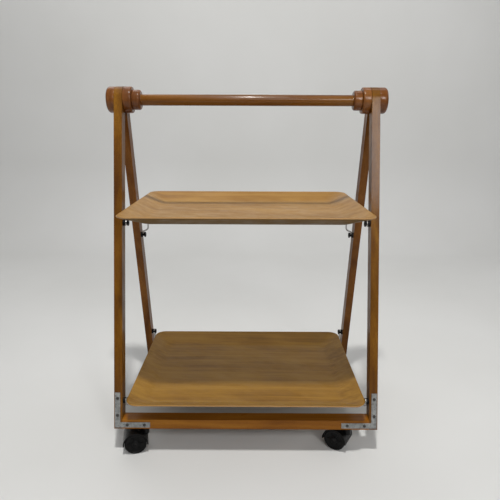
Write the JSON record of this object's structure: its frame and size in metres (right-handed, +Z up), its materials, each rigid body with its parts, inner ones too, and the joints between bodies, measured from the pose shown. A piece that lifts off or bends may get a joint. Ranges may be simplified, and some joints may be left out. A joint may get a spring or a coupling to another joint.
{
  "type": "folding serving trolley",
  "caption": "Folding serving trolley: two hinged wooden frames, moulded plywood trays hooked between them on spools, and swivelling twin-wheel casters.",
  "frame": {"origin": "on the floor, under the centre of the trolley's bounding box", "axes": "+Z up; +X along the handle towards the trolley's right as seen from the front; -Y to the front, the side of the frame that carries the handle"},
  "size_m": [0.64, 0.4468, 0.8165],
  "materials": {
    "beech": "gloss",
    "beech_dowel": "gloss",
    "tray_ply": "satin",
    "galvanised": "satin",
    "screw_steel": "satin",
    "black_plastic": "matte",
    "hood_plastic": "gloss",
    "tread": "matte",
    "wire_steel": "gloss",
    "axle_steel": "satin"
  },
  "bodies": {
    "front_frame": {"front_leg_left": "beech", "front_leg_right": "beech", "front_rail": "beech", "handle_dowel": "beech_dowel", "collar_left": "beech", "collar_right": "beech", "cap_left": "beech", "cap_right": "beech", "plate_front_left": "galvanised", "plate_front_right": "galvanised", "plate_screws_front": "screw_steel", "spools_front_upper": "black_plastic", "spools_front_lower": "black_plastic", "spool_screws_front": "screw_steel", "socket_front_left": "axle_steel", "socket_front_right": "axle_steel"},
    "rear_frame": {"rear_leg_left": "beech", "rear_leg_right": "beech", "rear_rail": "beech", "knuckle_left": "beech", "knuckle_right": "beech", "plate_rear_left": "galvanised", "plate_rear_right": "galvanised", "plate_screws_rear": "screw_steel", "spools_rear_upper": "black_plastic", "spools_rear_lower": "black_plastic", "spool_screws_rear": "screw_steel", "socket_rear_left": "axle_steel", "socket_rear_right": "axle_steel"},
    "upper_shelf": {"tray_upper": "tray_ply", "wire_upper_front": "wire_steel", "wire_upper_rear": "wire_steel", "clips_upper": "black_plastic", "clip_screws_upper": "screw_steel"},
    "lower_shelf": {"tray_lower": "tray_ply", "wire_lower_front": "wire_steel", "wire_lower_rear": "wire_steel", "clips_lower": "black_plastic", "clip_screws_lower": "screw_steel"},
    "caster_front_left": {"stem_front_left": "axle_steel", "hood_front_left": "hood_plastic"},
    "wheels_body_front_left": {"axle_front_left": "axle_steel", "wheels_front_left": "tread"},
    "caster_front_right": {"stem_front_right": "axle_steel", "hood_front_right": "hood_plastic"},
    "wheels_body_front_right": {"axle_front_right": "axle_steel", "wheels_front_right": "tread"},
    "caster_rear_left": {"stem_rear_left": "axle_steel", "hood_rear_left": "hood_plastic"},
    "wheels_body_rear_left": {"axle_rear_left": "axle_steel", "wheels_rear_left": "tread"},
    "caster_rear_right": {"stem_rear_right": "axle_steel", "hood_rear_right": "hood_plastic"},
    "wheels_body_rear_right": {"axle_rear_right": "axle_steel", "wheels_rear_right": "tread"}
  },
  "joints": [
    {"name": "frame_fold", "type": "hinge", "parent": "front_frame", "child": "rear_frame", "pos_m": [0, 0.0016, 0.787], "axis": [1, 0, 0], "range_deg": [-18.5, 0]},
    {"name": "upper_tray_tilt", "type": "hinge", "parent": "front_frame", "child": "upper_shelf", "pos_m": [0, -0.08078, 0.51461], "axis": [1, 0, 0], "range_deg": [0, 61.5]},
    {"name": "lower_tray_tilt", "type": "hinge", "parent": "front_frame", "child": "lower_shelf", "pos_m": [0, -0.17394, 0.11739], "axis": [1, 0, 0], "range_deg": [0, 61.5]},
    {"name": "swivel_front_left", "type": "hinge", "parent": "front_frame", "child": "caster_front_left", "pos_m": [-0.234, -0.18249, 0.06], "axis": [0, 0, 1], "continuous": true},
    {"name": "wheel_front_left", "type": "hinge", "parent": "caster_front_left", "child": "wheels_body_front_left", "pos_m": [-0.25552, -0.18707, 0.025], "axis": [0.2079, -0.9781, 0], "continuous": true},
    {"name": "swivel_front_right", "type": "hinge", "parent": "front_frame", "child": "caster_front_right", "pos_m": [0.234, -0.18249, 0.06], "axis": [0, 0, 1], "continuous": true},
    {"name": "wheel_front_right", "type": "hinge", "parent": "caster_front_right", "child": "wheels_body_front_right", "pos_m": [0.21495, -0.17149, 0.025], "axis": [-0.5, -0.866, 0], "continuous": true},
    {"name": "swivel_rear_left", "type": "hinge", "parent": "rear_frame", "child": "caster_rear_left", "pos_m": [-0.234, 0.18569, 0.06], "axis": [0, 0, 1], "continuous": true},
    {"name": "wheel_rear_left", "type": "hinge", "parent": "caster_rear_left", "child": "wheels_body_rear_left", "pos_m": [-0.25504, 0.19212, 0.025], "axis": [-0.2924, -0.9563, 0], "continuous": true},
    {"name": "swivel_rear_right", "type": "hinge", "parent": "rear_frame", "child": "caster_rear_right", "pos_m": [0.234, 0.18569, 0.06], "axis": [0, 0, 1], "continuous": true},
    {"name": "wheel_rear_right", "type": "hinge", "parent": "caster_rear_right", "child": "wheels_body_rear_right", "pos_m": [0.21221, 0.18875, 0.025], "axis": [-0.1392, -0.9903, 0], "continuous": true}
  ],
  "couplings": [
    {"joint": "upper_tray_tilt", "follows": "frame_fold", "ratio": -3.32},
    {"joint": "lower_tray_tilt", "follows": "frame_fold", "ratio": -3.32}
  ]
}
